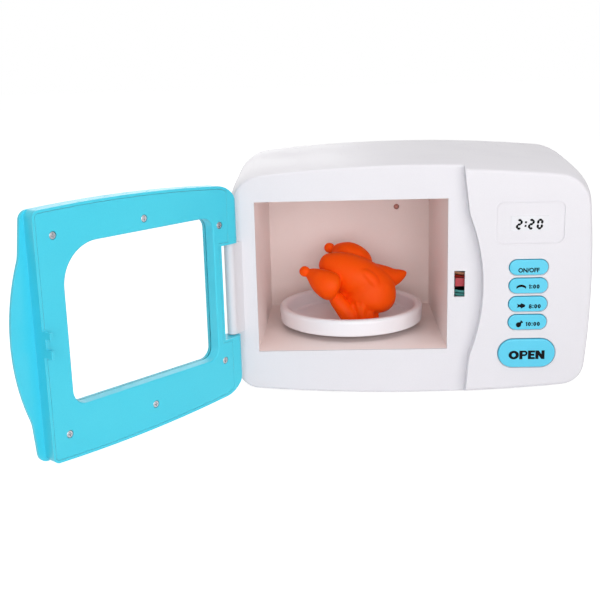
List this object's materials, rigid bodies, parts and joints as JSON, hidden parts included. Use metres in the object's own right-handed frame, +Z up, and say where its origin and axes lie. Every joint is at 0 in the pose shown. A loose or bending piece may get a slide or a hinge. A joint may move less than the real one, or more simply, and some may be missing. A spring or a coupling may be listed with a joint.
{
  "type": "toy microwave oven",
  "caption": "Rounded toy microwave oven with a side-hinged open door, driven turntable with a play roast, push buttons and a latch.",
  "frame": {"origin": "middle of the footprint with the door open, on the table", "axes": "+X to the right seen from the front, +Y to the back of the oven, +Z up"},
  "size_m": [0.4094, 0.321, 0.1947],
  "materials": {
    "white_plastic": "semi-gloss",
    "blue_plastic": "glossy",
    "orange_plastic": "satin",
    "grey_plastic": "matte",
    "gear_plastic": "matte",
    "red_plastic": "semi-gloss",
    "black_plastic": "matte",
    "steel": "plain",
    "rubber": "matte",
    "lamp_lens": "translucent",
    "label": "printed label",
    "board": "bare board",
    "paper_cone": "pressed paper",
    "cell_wrap": "wrapped can",
    "clear_sheet": "clear",
    "orange_wire": "insulation",
    "red_wire": "insulation",
    "teal_wire": "insulation",
    "yellow_wire": "insulation",
    "black_wire": "insulation"
  },
  "bodies": {
    "housing": {"front_housing": "white_plastic", "rear_housing": "white_plastic", "cavity_liner": "white_plastic", "gearbox_base": "grey_plastic", "gearbox_lid": "grey_plastic", "gear_axle": "steel", "hinge_pins": "steel", "housing_screws": "steel", "inner_screws": "steel", "motor_screws": "steel", "lever_washer": "steel", "open_button_spring": "steel", "latch_spring": "steel", "contact_springs": "steel", "contact_plates": "steel", "drive_motor": "steel", "feet": "rubber", "led_lamp": "lamp_lens", "display_label": "label", "tact_switches": "black_plastic", "open_button_guide": "white_plastic", "circuit_board": "board", "chip_seal": "black_plastic", "speaker_basket": "steel", "speaker_cone": "paper_cone", "battery_lower": "cell_wrap", "battery_middle": "cell_wrap", "battery_upper": "cell_wrap", "lamp_lead_plus": "orange_wire", "lamp_lead_minus": "red_wire", "motor_lead_plus": "teal_wire", "motor_lead_minus": "teal_wire", "speaker_lead_plus": "yellow_wire", "speaker_lead_minus": "yellow_wire", "battery_lead_minus": "black_wire", "battery_lead_plus": "red_wire"},
    "door": {"door_outer_shell": "blue_plastic", "door_inner_frame": "blue_plastic", "window_pane": "clear_sheet", "door_screws": "steel"},
    "turntable": {"turntable": "white_plastic", "output_gear": "gear_plastic"},
    "compound_gear": {"compound_gear": "gear_plastic"},
    "motor_rotor": {"motor_pinion": "gear_plastic", "motor_shaft": "steel"},
    "roast": {"roast_chicken": "orange_plastic"},
    "power_button": {"power_button": "blue_plastic", "power_plunger": "black_plastic"},
    "time_upper_button": {"time_upper_button": "blue_plastic", "time_upper_plunger": "black_plastic"},
    "time_middle_button": {"time_middle_button": "blue_plastic", "time_middle_plunger": "black_plastic"},
    "time_lower_button": {"time_lower_button": "blue_plastic", "time_lower_plunger": "black_plastic"},
    "open_button": {"open_button": "blue_plastic"},
    "latch_lever": {"latch_lever": "red_plastic"},
    "battery_cover": {"battery_cover": "white_plastic", "battery_cover_screw": "steel"}
  },
  "joints": [
    {"name": "door_swing", "type": "hinge", "parent": "housing", "child": "door", "pos_m": [-0.07614, -0.01375, 0.0942], "axis": [0, 0, 1], "range_deg": [0, 130.2]},
    {"name": "turntable_spin", "type": "hinge", "parent": "housing", "child": "turntable", "pos_m": [0.01786, 0.07675, 0.04], "axis": [0, 0, 1], "continuous": true},
    {"name": "compound_gear_spin", "type": "hinge", "parent": "housing", "child": "compound_gear", "pos_m": [-0.00234, 0.07675, 0.0244], "axis": [0, 0, 1], "continuous": true},
    {"name": "motor_spin", "type": "hinge", "parent": "housing", "child": "motor_rotor", "pos_m": [-0.02254, 0.07675, 0.0244], "axis": [0, 0, 1], "continuous": true},
    {"name": "roast_lift", "type": "slide", "parent": "turntable", "child": "roast", "axis": [0, 0, 1], "range_m": [0, 0.018]},
    {"name": "power_press", "type": "slide", "parent": "housing", "child": "power_button", "axis": [0, 1, 0], "range_m": [0, 0.0012], "stiffness_N_per_m": 500},
    {"name": "time_upper_press", "type": "slide", "parent": "housing", "child": "time_upper_button", "axis": [0, 1, 0], "range_m": [0, 0.0012], "stiffness_N_per_m": 500},
    {"name": "time_middle_press", "type": "slide", "parent": "housing", "child": "time_middle_button", "axis": [0, 1, 0], "range_m": [0, 0.0012], "stiffness_N_per_m": 500},
    {"name": "time_lower_press", "type": "slide", "parent": "housing", "child": "time_lower_button", "axis": [0, 1, 0], "range_m": [0, 0.0012], "stiffness_N_per_m": 500},
    {"name": "open_press", "type": "slide", "parent": "housing", "child": "open_button", "axis": [0, 1, 0], "range_m": [0, 0.003], "stiffness_N_per_m": 400, "deforming": ["open_button_spring"]},
    {"name": "latch_swing", "type": "hinge", "parent": "housing", "child": "latch_lever", "pos_m": [0.11486, -0.00135, 0.06], "axis": [0, 1, 0], "range_deg": [0, 4.8], "stiffness_Nm_per_rad": 0.05, "deforming": ["latch_spring"]},
    {"name": "battery_cover_removal", "type": "slide", "parent": "housing", "child": "battery_cover", "axis": [0, 1, 0], "range_m": [0, 0.025]}
  ],
  "couplings": [
    {"joint": "compound_gear_spin", "follows": "turntable_spin", "ratio": -4},
    {"joint": "motor_spin", "follows": "turntable_spin", "ratio": 16},
    {"joint": "latch_swing", "follows": "open_press", "rad_per_m": 27.897}
  ]
}
